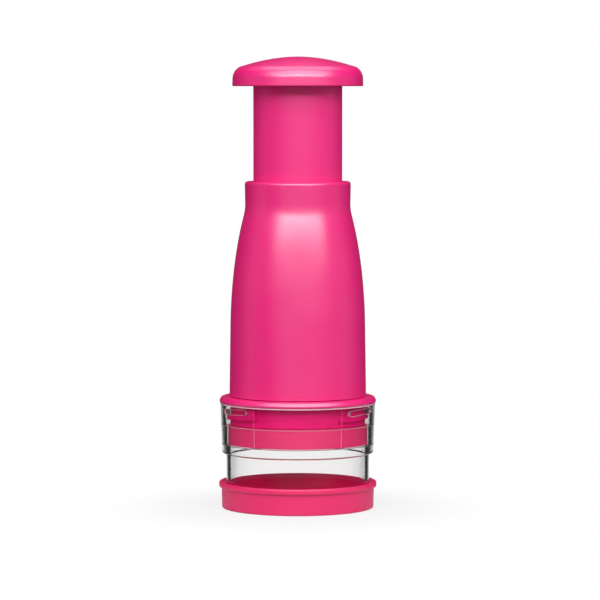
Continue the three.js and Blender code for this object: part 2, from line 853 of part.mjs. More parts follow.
// Guide frame and ratchet

// A ring of saw teeth that face up (side 1) or down (side -1) from a level.
function sawTeeth(inner, outer, level, side, relief) {
  const half = (Math.PI * inner) / toothCount;
  const face = half - relief;
  const shape = side > 0
    ? [[-face, toothHeight], [-face, -toothHeight], [half, -toothHeight], [half, 0]]
    : [[-half, toothHeight], [-half, 0], [face, -toothHeight], [face, toothHeight]];
  const points = shape.map(([x, y]) => new THREE.Vector2(x, y));
  return azimuths(toothCount, 0).map((azimuth) => wallPrism(points, inner, outer, azimuth, level));
}

const toothInner = fluteRadius + runGap;

function guideFrame() {
  const shell = turned([
    [fluteRadius + seatGap, framePlateBottom],
    [frameBore, framePlateBottom],
    [frameBore, frameBottom],
    [frameRadius, frameBottom],
    [frameRadius, frameTop],
    [frameBore, frameTop],
    [frameBore, framePlateTop],
    [frameHubRadius, framePlateTop],
    [frameHubRadius, frameHubTop],
    [frameHubBore, frameHubTop],
    [frameHubBore, framePlateTop],
    [fluteRadius + seatGap, framePlateTop],
  ]);
  const gapSpan = 360 / frameLegs - frameLegSpan;
  const sideWindows = azimuths(frameLegs, 180 / frameLegs).map((azimuth) => {
    const top = framePlateBottom - frameWindowMargin;
    return sector(frameBore - overrun, frameRadius + overrun, frameBottom - overrun, top, azimuth, gapSpan);
  });
  const plateInner = springRadius + springWire + frameWindowMargin;
  const plateOuter = frameBore - frameWindowMargin;
  const plateWindows = azimuths(frameWindows, 180 / frameWindows).map((azimuth) => {
    const [bottom, top] = [framePlateBottom - overrun, framePlateTop + overrun];
    return sector(plateInner, plateOuter, bottom, top, azimuth, frameWindowSpan);
  });
  const teeth = sawTeeth(toothInner, frameHubBore + overrun / 2, framePlateTop, 1, 0);
  return joined(cut(shell, [...sideWindows, ...plateWindows]), teeth);
}

function ratchetNut() {
  const body = disc(nutRadius, nutBottom, nutTop, narrowSteps);
  const teeth = sawTeeth(toothInner, nutRadius - seatGap, nutBottom, -1, seatGap);
  const bore = lobedBar(runGap, nutBottom - toothHeight - overrun, nutTop + overrun);
  return joined(body, teeth).subtract(bore);
}

function nutCap() {
  const top = frameHubTop + seatGap + nutCapPlate;
  return turned([
    [fluteRadius + seatGap, frameHubTop + seatGap],
    [frameHubRadius + seatGap, frameHubTop + seatGap],
    [frameHubRadius + seatGap, top - nutCapSkirt],
    [nutCapRadius, top - nutCapSkirt],
    [nutCapRadius, top, smallEdge],
    [fluteRadius + seatGap, top],
  ]);
}

// Springs

const nutSpringRadius = (fluteRadius + seatGap + nutRadius) / 2;
const nutSpringLine = woundLine(
  nutSpringRadius,
  nutSpringWire,
  nutTop + seatGap,
  frameHubTop,
  nutSpringTurns,
  smallTurnSteps,
);
const springLine = woundLine(
  springRadius,
  springWire,
  framePlateTop + seatGap,
  springTop,
  springTurns,
  springTurnSteps,
);
const springSelfGap = selfGap(springLine, springWire, springTurnSteps);
const nutSpringSelfGap = selfGap(nutSpringLine, nutSpringWire, smallTurnSteps);
console.log("return spring's least gap to itself, mm:", springSelfGap.toFixed(2));
console.log("nut spring's least gap to itself, mm:", nutSpringSelfGap.toFixed(2));

function springWasher() {
  const inner = springRadius - springWire;
  const outer = springRadius + springWire;
  return ring(inner, outer, thrustTop - washerThickness, thrustTop, narrowSteps);
}

// Plunger, bush and knob

const knobRadius = plungerRadius + knobOverhang;
const knobCrownRadius = plungerRadius + knobShoulder;

// The crown's side view from the axis outwards, at an inset from its outer face.
function crownLine(inset) {
  return Array.from({ length: knobCrownSteps }, (_, i) => {
    const share = i / knobCrownSteps;
    return [(knobCrownRadius - inset) * share, knobTop - inset - knobCrown * share ** knobCrownPower];
  });
}

// The underside of the knob's roof over a radius, on the straight facets between the crown's points.
function roofOver(radius) {
  const line = [...crownLine(knobWall), [knobCrownRadius - knobWall, knobTop - knobWall - knobCrown]];
  const after = line.findIndex(([reach]) => reach >= radius);
  const [[r0, z0], [r1, z1]] = [line[after - 1], line[after]];
  return z0 + ((z1 - z0) * (radius - r0)) / (r1 - r0);
}

function plungerTube() {
  const bore = plungerRadius - plungerWall;
  const top = roofOver(plungerRadius) - seatGap;
  const webHole = spindleJournalRadius + runGap;
  return turned([
    [bore, plungerBottom],
    [flangeFit, plungerBottom, smallEdge],
    [flangeFit, plungerFlangeTop],
    [plungerRadius, plungerFlangeTop],
    [plungerRadius, top, smallEdge],
    [bore, top],
    [bore, webTop],
    [webHole, webTop],
    [webHole, webBottom],
    [bore, webBottom],
  ]);
}

function neckBush() {
  return turned([
    [bushBore, bushBottom],
    [flangeFit, bushBottom],
    [flangeFit, bushBottom + bushFlange],
    [bushRadius, bushBottom + bushFlange],
    [bushRadius, neckTop - neckLip - seatGap],
    [bushBore, neckTop - neckLip - seatGap],
  ]);
}

function knobDome(inset, bottom) {
  return turned([
    ...crownLine(inset),
    [knobCrownRadius - inset, knobTop - inset - knobCrown, knobEdge],
    [knobRadius - inset - knobFlare, knobTop - inset - knobCrown - knobEdge, knobEdge],
    [knobRadius - inset, bottom, inset ? 0 : smallEdge],
    [0, bottom],
  ]);
}

function knobCap() {
  const shell = knobDome(0, knobBottom).subtract(knobDome(knobWall, knobBottom - overrun));
  const sleeveBore = plungerRadius + seatGap;
  const sleeveRadius = sleeveBore + knobSleeveWall;
  const sleeve = ring(sleeveBore, sleeveRadius, knobBottom + knobSleeveRise, knobTop);
  const ribInner = sleeveRadius - knobSleeveWall / 2;
  const ribLength = knobRadius - ribInner;
  const ribs = azimuths(knobRibs, 0).map((azimuth) => {
    const geometry = new THREE.BoxGeometry(ribLength, knobRibThickness, knobHeight);
    geometry.translate(ribInner + ribLength / 2, 0, knobBottom + knobRibRise + knobHeight / 2);
    return solid(geometry.rotateZ(degrees(azimuth)));
  });
  return shell.add(joined(sleeve, ribs).intersect(knobDome(knobWall / 2, knobBottom)));
}

function housingShell() {
  const outerSide = shoulder.getPoints(curveSteps).map((point) => [point.x, point.y]);
  const boreHeights = Array.from({ length: curveSteps }, (_, i) => {
    return housingLedgeTop + ((neckSeat - housingLedgeTop) * i) / (curveSteps - 1);
  });
  const ledgeBore = frameBore + seatGap;
  const innerSide = boreHeights.map((height) => [housingBoreAt(height), height]);
  const mouth = neckRadius + neckFlare;
  const lipBore = plungerRadius + runGap;
  return turned([
    [housingRadius, housingBottom],
    ...outerSide.slice(0, -1),
    [neckRadius, neckBottom, neckBlend],
    [mouth, neckTop, neckEdge],
    [lipBore, neckTop, smallEdge],
    [lipBore, neckTop - neckLip],
    [neckBore, neckTop - neckLip],
    [neckBore, neckSeat],
    ...innerSide.reverse(),
    [ledgeBore, housingLedgeTop],
    [ledgeBore, housingLedgeBottom],
    [housingBoreAt(housingLedgeBottom), housingLedgeBottom],
    [housingBore, housingBottom],
  ]);
}

// Finishes

const pinkPlastic = { color: 0xe52f7c, roughness: 0.22, metalness: 0 };
const palePinkPlastic = { color: 0xe8558f, roughness: 0.3, metalness: 0 };
const clearPlastic = { color: 0xeef2f4, roughness: 0.05, metalness: 0, transparent: true, opacity: 0.35 };
const whitePlastic = { color: 0xf0eee8, roughness: 0.45, metalness: 0 };
const springSteel = { color: 0x8f9398, roughness: 0.35, metalness: 1 };
const brightSteel = { color: 0xc9ccd0, roughness: 0.22, metalness: 1 };

const pieces = {
  base_cap: [baseCap(), pinkPlastic],
  chopping_cup: [choppingCup(), clearPlastic],
  housing_shell: [housingShell(), pinkPlastic],
  bayonet_collar: [bayonetCollar(), pinkPlastic],
  wiper_ring: [wiperRing(), palePinkPlastic],
  neck_bush: [neckBush(), whitePlastic],
  guide_frame: [guideFrame(), whitePlastic],
  ratchet_nut: [ratchetNut(), whitePlastic],
  nut_spring: [wireTube(nutSpringLine, nutSpringWire), springSteel],
  nut_cap: [nutCap(), whitePlastic],
  knob: [knobCap(), pinkPlastic],
  plunger_tube: [plungerTube(), pinkPlastic],
  return_spring: [wireTube(springLine, springWire), springSteel],
  spring_washer: [springWasher(), brightSteel],
  thrust_washer: [thrustWasher(), brightSteel],
  helix_spindle: [helixSpindle(), whitePlastic],
  retaining_washer: [retainingWasher(), brightSteel],
  spindle_screw: [spindleScrew(), brightSteel],
  blade_carrier: [bladeCarrier(), whitePlastic],
  zigzag_blade: [zigzagBlade(), brightSteel],
  carrier_pin: [carrierPin(), brightSteel],
  wiper_disc: [wiperDisc(), palePinkPlastic],
};

const chopper = new THREE.Group();
chopper.name = "vegetable_chopper";
for (const [name, [body, finish]] of Object.entries(pieces)) {
  const mesh = new THREE.Mesh(geometryOf(body), new THREE.MeshStandardMaterial(finish));
  mesh.name = name;
  chopper.add(mesh);
}

export default chopper;
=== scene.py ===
import math

import bmesh
import bpy
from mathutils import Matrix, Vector


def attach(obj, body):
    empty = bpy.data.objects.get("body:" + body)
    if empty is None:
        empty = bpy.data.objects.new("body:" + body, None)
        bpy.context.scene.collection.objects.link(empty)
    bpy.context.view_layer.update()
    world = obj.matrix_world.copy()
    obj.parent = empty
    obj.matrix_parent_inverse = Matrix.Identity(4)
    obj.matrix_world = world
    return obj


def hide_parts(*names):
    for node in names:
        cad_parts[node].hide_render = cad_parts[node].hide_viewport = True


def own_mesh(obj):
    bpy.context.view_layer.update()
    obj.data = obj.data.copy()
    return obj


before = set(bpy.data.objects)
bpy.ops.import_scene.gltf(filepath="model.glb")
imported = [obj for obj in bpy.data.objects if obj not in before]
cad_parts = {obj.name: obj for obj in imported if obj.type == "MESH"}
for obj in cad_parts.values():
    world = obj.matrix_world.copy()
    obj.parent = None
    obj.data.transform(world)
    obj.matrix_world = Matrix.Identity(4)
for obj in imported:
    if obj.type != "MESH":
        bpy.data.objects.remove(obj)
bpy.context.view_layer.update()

# Fineness of the meshes

MM = 0.001
AROUND = 192  # steps round a turned piece
CUP_AROUND = 240
ARC_STEPS = 6  # in a rounding
SHARP = math.radians(32)  # edges over this angle stay sharp
NEAR = 1e-5  # points of an outline nearer than this are one
SMALL = 1e-6  # lengths under this count as none
SHARED_SIDE = 0.5  # share of a side that a rounding may take when the next corner is rounded too
FREE_SIDE = 0.98  # the same when the next corner is sharp
PAD_CUT_SHIFT = 0.013  # keeps the cuts that bend a pad round its wall off the pad's corners

# Clearances, in millimetres like all sizes of the pieces

SEAT_GAP = 0.3  # between pieces that rest on or fit into each other
RUN_GAP = 0.4  # round what slides or turns
STROKE = 35.5  # of the plunger

# Radii of the solids, from the blade outwards

BLADE_REACH = 30.9
RING_OPENING = BLADE_REACH + 0.7
DISC_RADIUS = BLADE_REACH + 3.7
SPIGOT_BORE = BLADE_REACH + 1.7
SPIGOT_RADIUS = SPIGOT_BORE + 1.7
COLLAR_MOUTH_BORE = SPIGOT_BORE + 0.7
COLLAR_MOUTH_RADIUS = COLLAR_MOUTH_BORE + 1.55
RING_BORE = COLLAR_MOUTH_RADIUS + SEAT_GAP
RING_RADIUS = RING_BORE + 2.3
SKIRT_RADIUS = RING_RADIUS - 1.15
SKIRT_BORE = SKIRT_RADIUS - 2.1
LUG_RADIUS = SKIRT_RADIUS + RUN_GAP
RIB_RADIUS = SKIRT_RADIUS + 1.6
SEAT_RADIUS = RING_RADIUS + 0.65
MOUTH_RADIUS = RIB_RADIUS + 0.8
CUP_BORE = SEAT_RADIUS - 1.7
CUP_FOOT_RADIUS = CUP_BORE + 2.0
CUP_LOWER_RADIUS = CUP_FOOT_RADIUS + 0.35
CUP_RIM_RADIUS = MOUTH_RADIUS + 3.3
CUP_STEP_RADIUS = CUP_RIM_RADIUS - 1.1
FLANGE_RADIUS = CUP_RIM_RADIUS + 0.2
BASE_BORE = CUP_LOWER_RADIUS + SEAT_GAP
BASE_RADIUS = BASE_BORE + 2.1
BASE_RIM_RADIUS = BASE_RADIUS + 1.35
HOUSING_WALL = 2.25
HOUSING_BORE = SPIGOT_RADIUS + SEAT_GAP
HOUSING_RADIUS = HOUSING_BORE + HOUSING_WALL
TUBE_RADIUS = 23.9
TUBE_BORE = TUBE_RADIUS - 2.0
NECK_BORE = TUBE_RADIUS + 2.1
NECK_RADIUS = NECK_BORE + HOUSING_WALL
KNOB_RADIUS = TUBE_RADIUS + 11.3
CROWN_RADIUS = TUBE_RADIUS + 9.2

# Heights of the solids, from the base upwards

BASE_FLOOR = 2.2
BASE_HEIGHT = 14.3
CUP_FOOT = BASE_FLOOR + SEAT_GAP
CUP_LEDGE = CUP_FOOT + 32.3
CUP_STEP = CUP_LEDGE - 5.1
CUP_SEAT_TOP = CUP_LEDGE + 10.4
CUP_RIM = CUP_LEDGE + 22.2
RING_BOTTOM = CUP_LEDGE + SEAT_GAP
RING_LIP_TOP = RING_BOTTOM + 1.8
RING_TOP = RING_BOTTOM + 10.5
DISC_BOTTOM = RING_LIP_TOP + SEAT_GAP
DISC_TOP = DISC_BOTTOM + 2.2
COLLAR_MOUTH_BOTTOM = DISC_TOP + 0.6
COLLAR_MOUTH_TOP = COLLAR_MOUTH_BOTTOM + 6.5
SKIRT_BOTTOM = RING_TOP + SEAT_GAP
FLANGE_BOTTOM = CUP_RIM + SEAT_GAP
FLANGE_EDGE_TOP = FLANGE_BOTTOM + 2.7
FLANGE_TOP = FLANGE_EDGE_TOP + 0.4
HOUSING_BOTTOM = FLANGE_TOP + SEAT_GAP
SPIGOT_TOP = HOUSING_BOTTOM + 9.3
BLADE_EDGE = DISC_BOTTOM + 0.8
BLADE_TOP = 78.8
HOUSING_LEDGE_TOP = 99.0
HOUSING_LEDGE_BOTTOM = HOUSING_LEDGE_TOP - 2.2
TUBE_BOTTOM = HOUSING_LEDGE_TOP + STROKE + 14.7
WEB_BOTTOM = TUBE_BOTTOM + 40.8
WEB_TOP = WEB_BOTTOM + 3.0
NECK_BOTTOM = 161.0
NECK_SEAT = NECK_BOTTOM - 6.7
NECK_TOP = NECK_BOTTOM + 15.1
KNOB_BOTTOM = NECK_TOP + STROKE + 15.5
KNOB_TOP = KNOB_BOTTOM + 15.9
TUBE_TOP = 236.1  # inside the knob, 0.2 under the solid's top

# Blade

BLADE_THICKNESS = 0.8
BLADE_BEND = 1.4  # radius of each fold, at the middle of the strip
BLADE_LEGS = 5
BLADE_SPREAD_SHARE = 0.82  # half the width over which the folds are spread, of the reach
BLADE_BEND_STEPS = 14
CORNER_ROUNDS = 8  # rounds that place the folds' corners
BLADE_GRINDING = ((1.6, 0.4), (0.35, 0.2), (0, 0.04))  # height over the edge and half the thickness
LEAST_MITRE = 0.2  # limits the offset at a tight corner
SLOT_GAP = 0.4  # each side of the blade

# Bayonet: lugs in the cup over ribs on the collar

LUG_AZIMUTHS = (60, 180, 300)
LUG_LEVEL = CUP_RIM - 3.6
LUG_HALF = 10.45  # half the length
LUG_HEIGHT = 3.1
LUG_EDGE = 0.45
LUG_ARC_STEPS = 10
RIB_HALF = 15.42
RIB_HEIGHT = 2.5
RIB_CORNER = 0.8
RIB_EDGE = 0.35
STOP_GAP = 0.5
STOP_CORNER = 0.3
TILT = math.atan(0.043)
LINE_TURN = 24  # degrees from a lug's middle to the line on each side of it
LINE_HALF = 0.09  # half the width
LINE_DEPTH = 0.1

# Housing's shoulder

BODY_TAPER = 0.55  # narrower at the ledge than at the foot
BODY_REACH_SHARE = 0.3  # of the shoulder's height, held along the taper
SHOULDER_SLOPE_SHARE = 0.276  # outward run for each drop, where the shoulder leaves the neck
SHOULDER_REACH_SHARE = 0.337  # of the shoulder's height, held by that slope
SHOULDER_STEPS = 96
NECK_BLEND = 25.0  # radius of the hollow between neck and shoulder
NECK_BLEND_ROOM = 3.6  # of the shoulder under the neck, left to that hollow
INNER_STEPS = 24  # along the shoulder's inside
HOUSING_ARC_STEPS = 10

# Knob

KNOB_WALL = 2.5
KNOB_RIBS = 6
CROWN_DROP = 6.2
CROWN_POWER = 1.9
CROWN_SHARE = 0.9  # of the crown, up to its rounded shoulder
CROWN_STEPS = 30
KNOB_SHOULDER = ((3.6, 5.55, 3.0), (1.4, 7.6, 3.5), (0.2, 10.2, 6.0))  # inwards, down, rounding

# Return spring

SPRING_RADIUS = 15.3
SPRING_WIRE = 1.6
SPRING_BOTTOM = 93.8
SPRING_TOP = 188.6
SPRING_TURNS = 12
SPRING_TURN_STEPS = 28
SPRING_END_GAP = 0.5  # between the closed turns at its ends
WIRE_SIDES = 10


# Outlines and meshes

def rounded(corners, steps=ARC_STEPS, closed=True):
    """Points through (x, y, rounding) corners, each rounding an arc that its sides have room for."""
    count = len(corners)
    places = [Vector(corner[:2]) for corner in corners]
    radii = [corner[2] if len(corner) > 2 else 0 for corner in corners]
    points = []
    for i, corner in enumerate(places):
        before, after = (i - 1) % count, (i + 1) % count
        if not radii[i] or (not closed and i in (0, count - 1)):
            points.append(corner)
            continue
        back, ahead = places[before] - corner, places[after] - corner
        room = min(
            back.length * (SHARED_SIDE if radii[before] else FREE_SIDE),
            ahead.length * (SHARED_SIDE if radii[after] else FREE_SIDE),
        )
        back.normalize()
        ahead.normalize()
        half = back.angle(ahead) / 2
        reach = min(radii[i] / math.tan(half), room)
        radius = reach * math.tan(half)
        centre = corner + (back + ahead).normalized() * radius / math.sin(half)
        arm = corner + back * reach - centre
        turn = math.pi - 2 * half
        side = -1 if back.x * ahead.y - back.y * ahead.x > 0 else 1
        for step in range(steps + 1):
            angle = side * turn * step / steps
            cos, sin = math.cos(angle), math.sin(angle)
            points.append(centre + Vector((arm.x * cos - arm.y * sin, arm.x * sin + arm.y * cos)))
    return [p for i, p in enumerate(points) if (p - points[i - 1]).length > NEAR or (not closed and i == 0)]


def turned(corners, around=AROUND, steps=ARC_STEPS):
    """A closed body turned about Z from an outline of (radius, height, rounding) corners."""
    form = bmesh.new()
    rings = []
    for point in rounded(corners, steps):
        if point.x < SMALL:
            rings.append([form.verts.new((0, 0, point.y * MM))])
            continue
        ring = []
        for k in range(around):
            angle = 2 * math.pi * k / around
            place = Vector((point.x * math.cos(angle), point.x * math.sin(angle), point.y))
            ring.append(form.verts.new(place * MM))
        rings.append(ring)
    for i, low in enumerate(rings):
        high = rings[(i + 1) % len(rings)]
        for k in range(around):
            n = (k + 1) % around
            quad = [low[k % len(low)], low[n % len(low)], high[n % len(high)], high[k % len(high)]]
            face = list(dict.fromkeys(quad))
            if len(face) > 2:
                form.faces.new(face)
    bmesh.ops.recalc_face_normals(form, faces=form.faces)
    return form


def add_prism_faces(form, floor, roof):
    """The two ends and the sides between two loops of points. Returns the floor's face."""
    end = form.faces.new(floor)
    form.faces.new(roof)
    for i in range(len(floor)):
        n = (i + 1) % len(floor)
        form.faces.new((floor[i], floor[n], roof[n], roof[i]))
    bmesh.ops.recalc_face_normals(form, faces=form.faces)
    return end


def prism(points, low, high):
    """A straight prism over an outline."""
    form = bmesh.new()
    floor = [form.verts.new(Vector((x, y, low)) * MM) for x, y in points]
    roof = [form.verts.new(Vector((x, y, high)) * MM) for x, y in points]
    add_prism_faces(form, floor, roof)
    return form


def wall_pad(points, inner, outer, azimuth, level, edge, faces_in=False):
    """A pad on a round wall. Its outline stands upright at an azimuth, and its free face has a soft edge."""
    form = bmesh.new()
    free, held = (inner, outer) if faces_in else (outer, inner)
    front = [form.verts.new((x, free, z)) for x, z in points]
    rear = [form.verts.new((x, held, z)) for x, z in points]
    face = add_prism_faces(form, front, rear)
    bmesh.ops.bevel(
        form, geom=list(face.edges), offset=edge, segments=3, profile=0.5, affect="EDGES", clamp_overlap=True)
    wide = int(max(abs(x) for x, _ in points))
    for k in range(-wide, wide + 1):
        everything = form.verts[:] + form.edges[:] + form.faces[:]
        place = (k + PAD_CUT_SHIFT, 0, 0)
        bmesh.ops.bisect_plane(form, geom=everything, plane_co=place, plane_no=(1, 0, 0))
    angle = math.radians(azimuth)
    along = Vector((math.cos(angle), math.sin(angle), 0))
    out = Vector((math.sin(angle), -math.cos(angle), 0))
    for vert in form.verts:
        x, reach, z = vert.co
        vert.co = (along * x + out * math.sqrt(reach ** 2 - x ** 2) + Vector((0, 0, z + level))) * MM
    bmesh.ops.recalc_face_normals(form, faces=form.faces)
    return form


def tube(line, radius, sides):
    """A wire along points, closed at both ends."""
    form = bmesh.new()
    rings = []
    for i, point in enumerate(line):
        along = (line[min(i + 1, len(line) - 1)] - line[max(i - 1, 0)]).normalized()
        out = Vector((point.x, point.y, 0)).normalized()
        across = along.cross(out).normalized()
        rings.append([
            form.verts.new((point + out * radius * math.cos(a) + across * radius * math.sin(a)) * MM)
            for a in (2 * math.pi * k / sides for k in range(sides))
        ])
    for low, high in zip(rings, rings[1:]):
        for k in range(sides):
            n = (k + 1) % sides
            form.faces.new((low[k], low[n], high[n], high[k]))
    form.faces.new(rings[0])
    form.faces.new(rings[-1])
    bmesh.ops.recalc_face_normals(form, faces=form.faces)
    return form


def together(first, *others):
    """One bmesh that holds several."""
    for other in others:
        mesh = bpy.data.meshes.new("part")
        other.to_mesh(mesh)
        other.free()
        first.from_mesh(mesh)
        bpy.data.meshes.remove(mesh)
    return first


def shape(name, form):
    """A piece from a bmesh, smooth apart from its sharp edges."""
    mesh = bpy.data.meshes.new(name)
    form.to_mesh(mesh)
    form.free()
    piece = bpy.data.objects.new(name, mesh)
    bpy.context.scene.collection.objects.link(piece)
    shade(piece)
    return piece


def shade(piece):
    """Smooth faces with sharp edges kept, and normals that follow the larger faces."""
    form = bmesh.new()
    form.from_mesh(piece.data)
    for face in form.faces:
        face.smooth = True
    for edge in form.edges:
        edge.smooth = len(edge.link_faces) != 2 or edge.calc_face_angle(0) < SHARP
    form.to_mesh(piece.data)
    form.free()
    weighted = piece.modifiers.new("normals", "WEIGHTED_NORMAL")
    weighted.mode = "FACE_AREA"
    weighted.weight = 50
    weighted.keep_sharp = True
    apply_modifiers(piece)


def apply_modifiers(piece):
    """Put what the modifiers make in the place of the piece's mesh."""
    evaluated = piece.evaluated_get(bpy.context.evaluated_depsgraph_get())
    mesh = bpy.data.meshes.new_from_object(evaluated)
    mesh.name = piece.name
    piece.modifiers.clear()
    before = piece.data
    piece.data = mesh
    bpy.data.meshes.remove(before)


def combined(name, first, second, operation):
    """A piece that is one body plus or minus another."""
    body, tool = shape(name, first), shape(name + "_tool", second)
    change = body.modifiers.new("join", "BOOLEAN")
    change.operation = operation
    change.solver = "EXACT"
    change.object = tool
    apply_modifiers(body)
    bpy.data.objects.remove(tool)
    shade(body)
    return body


# Base and cup

def base_cap():
    """A shallow cap with an overhanging rim and a lead-in for the cup."""
    draft = 0.25
    rim_bottom = BASE_HEIGHT - 3.0
    lead_in_radius = BASE_BORE + 1.5
    lead_in_bottom = BASE_HEIGHT - 2.2
    return shape("base_cap_shell", turned([
        (0, 0),
        (BASE_RADIUS - draft, 0, 0.8),
        (BASE_RADIUS, rim_bottom, 0.4),
        (BASE_RIM_RADIUS, rim_bottom, 1.1),
        (BASE_RIM_RADIUS, BASE_HEIGHT, 1.2),
        (lead_in_radius, BASE_HEIGHT, 1.0),
        (BASE_BORE, lead_in_bottom, 0.4),
        (BASE_BORE, BASE_FLOOR, 0.6),
        (0, BASE_FLOOR),
    ]))


def tilted(points):
    """An upright outline, turned to the bayonet's slope."""
    cos, sin = math.cos(TILT), math.sin(TILT)
    return [(p.x * cos - p.y * sin, p.x * sin + p.y * cos) for p in points]


def cup_lug(azimuth):
    """A sloping lug with round ends inside the cup's mouth."""
    half = LUG_HEIGHT / 2
    root = MOUTH_RADIUS + 0.9
    points = tilted(rounded([
        (-LUG_HALF, -half, half),
        (LUG_HALF, -half, half),
        (LUG_HALF, half, half),
        (-LUG_HALF, half, half),
    ], LUG_ARC_STEPS))
    return wall_pad(points, LUG_RADIUS, root, azimuth, LUG_LEVEL, LUG_EDGE, faces_in=True)


def upright_line(azimuth, low, high, wall, root):
    """A fine upright ridge on the inside of a round wall."""
    points = [(-LINE_HALF, low), (LINE_HALF, low), (LINE_HALF, high), (-LINE_HALF, high)]
    return wall_pad(points, wall - LINE_DEPTH, wall + root, azimuth, 0, LINE_DEPTH, faces_in=True)


def cup_line(azimuth):
    """A fine upright line inside the cup, over its seat and its mouth."""
    return together(
        upright_line(azimuth, CUP_LEDGE - 0.4, CUP_SEAT_TOP, SEAT_RADIUS, root=0.8),
        upright_line(azimuth, CUP_SEAT_TOP - 0.6, CUP_RIM - 0.5, MOUTH_RADIUS, root=0.7),
    )


def chopping_cup():
    """The clear cup: a lower part, a step, and a wider mouth with its lugs and lines."""
    wall = turned([
        (CUP_BORE, CUP_FOOT, 0.5),
        (CUP_FOOT_RADIUS, CUP_FOOT, 0.5),
        (CUP_LOWER_RADIUS, CUP_STEP, 0.35),
        (CUP_STEP_RADIUS, CUP_STEP, 2.4),
        (CUP_RIM_RADIUS, CUP_RIM, 0.6),
        (MOUTH_RADIUS, CUP_RIM, 0.6),
        (MOUTH_RADIUS, CUP_SEAT_TOP, 0.25),
        (SEAT_RADIUS, CUP_SEAT_TOP, 0.25),
        (SEAT_RADIUS, CUP_LEDGE, 0.25),
        (CUP_BORE, CUP_LEDGE, 0.5),
    ], CUP_AROUND)
    lugs = [cup_lug(azimuth) for azimuth in LUG_AZIMUTHS]
    lines = [cup_line(azimuth + turn) for azimuth in LUG_AZIMUTHS for turn in (-LINE_TURN, LINE_TURN)]
    return combined("chopping_cup_clear", wall, together(*lugs, *lines), "UNION")


def gets_painted_glint(face):
    """Whether a face of the cup is the side of a lug or line, the seat's upper step or the rim's rounding;
    these get a painted pink glint.
    """
    rim_depth = 0.62
    rim_width = 0.7
    step_rise = 0.5
    step_drop = 0.3
    step_width = 0.1
    off_mouth = 0.06
    off_seat = 0.03
    square = 0.93  # a face that looks at the axis more squarely than this is wall
    centre = face.center / MM
    radius = math.hypot(centre.x, centre.y)
    facing = abs(face.normal.x * centre.x + face.normal.y * centre.y) / radius
    if centre.z > CUP_RIM - rim_depth and radius > CUP_RIM_RADIUS - rim_width:
        return True
    if centre.z > CUP_SEAT_TOP + step_rise:
        return radius < MOUTH_RADIUS - off_mouth and facing < square
    if centre.z > CUP_SEAT_TOP - step_drop:
        return radius < MOUTH_RADIUS + step_width and facing < square
    return CUP_LEDGE < centre.z and radius < SEAT_RADIUS - off_seat


# Collar, wiper ring and disc

def collar_rib(azimuth):
    """A sloping rib under a lug, with a stop at one end."""
    top = -LUG_HEIGHT / 2 - SEAT_GAP
    stop = LUG_HALF + STOP_GAP
    root = SKIRT_RADIUS - 1.1
    points = tilted(rounded([
        (-RIB_HALF, top - RIB_HEIGHT, RIB_CORNER),
        (RIB_HALF, top - RIB_HEIGHT, RIB_CORNER),
        (RIB_HALF, LUG_HEIGHT / 2, RIB_CORNER),
        (stop, LUG_HEIGHT / 2, STOP_CORNER),
        (stop, top, STOP_CORNER),
        (-RIB_HALF, top, RIB_CORNER),
    ]))
    return wall_pad(points, root, RIB_RADIUS, azimuth, LUG_LEVEL, RIB_EDGE)


def bayonet_collar():
    """The collar: a mouth for the wiper ring, a skirt with ribs, a flange and a spigot for the housing."""
    flange_shoulder = FLANGE_BOTTOM + 1.0
    flange_top_radius = FLANGE_RADIUS - 0.9
    inner_slope = SKIRT_BORE - COLLAR_MOUTH_BORE
    shell = turned([
        (COLLAR_MOUTH_BORE, COLLAR_MOUTH_BOTTOM, 0.3),
        (COLLAR_MOUTH_RADIUS, COLLAR_MOUTH_BOTTOM, 0.5),
        (COLLAR_MOUTH_RADIUS, SKIRT_BOTTOM),
        (SKIRT_RADIUS, SKIRT_BOTTOM, 0.3),
        (SKIRT_RADIUS, FLANGE_BOTTOM, 0.3),
        (FLANGE_RADIUS, FLANGE_BOTTOM, 0.5),
        (FLANGE_RADIUS, flange_shoulder, 1.5),
        (flange_top_radius, FLANGE_EDGE_TOP, 0.9),
        (HOUSING_RADIUS, FLANGE_TOP),
        (SPIGOT_RADIUS, FLANGE_TOP, 0.2),
        (SPIGOT_RADIUS, SPIGOT_TOP, 0.5),
        (SPIGOT_BORE, SPIGOT_TOP, 0.3),
        (SPIGOT_BORE, FLANGE_EDGE_TOP),
        (SKIRT_BORE, FLANGE_BOTTOM),
        (SKIRT_BORE, COLLAR_MOUTH_TOP + inner_slope),
        (COLLAR_MOUTH_BORE, COLLAR_MOUTH_TOP),
    ])
    ribs = [collar_rib(azimuth) for azimuth in LUG_AZIMUTHS]
    return shape("bayonet_collar_shell", together(shell, *ribs))


def wiper_ring():
    """The paler band round the collar's mouth, with the lip that carries the disc."""
    return shape("wiper_ring_band", turned([
        (RING_OPENING, RING_BOTTOM, 0.5),
        (RING_RADIUS, RING_BOTTOM, 0.5),
        (RING_RADIUS, RING_TOP, 0.5),
        (RING_BORE, RING_TOP, 0.2),
        (RING_BORE, RING_LIP_TOP, 0.2),
        (RING_OPENING, RING_LIP_TOP, 0.4),
    ]))


def wiper_disc():
    """The disc with its slot round the blade."""
    edge = 0.35
    below = 1.2
    above = 1.6
    left, right = strip_sides(BLADE_THICKNESS / 2 + SLOT_GAP, SLOT_GAP)
    outline = [(p.x, p.y) for p in left + right[::-1]]
    plate = turned([
        (0, DISC_BOTTOM),
        (DISC_RADIUS, DISC_BOTTOM, edge),
        (DISC_RADIUS, DISC_TOP, edge),
        (0, DISC_TOP),
    ])
    slot = prism(outline, DISC_BOTTOM - below, DISC_TOP + above)
    return combined("wiper_disc_plate", plate, slot, "DIFFERENCE")


# Blade

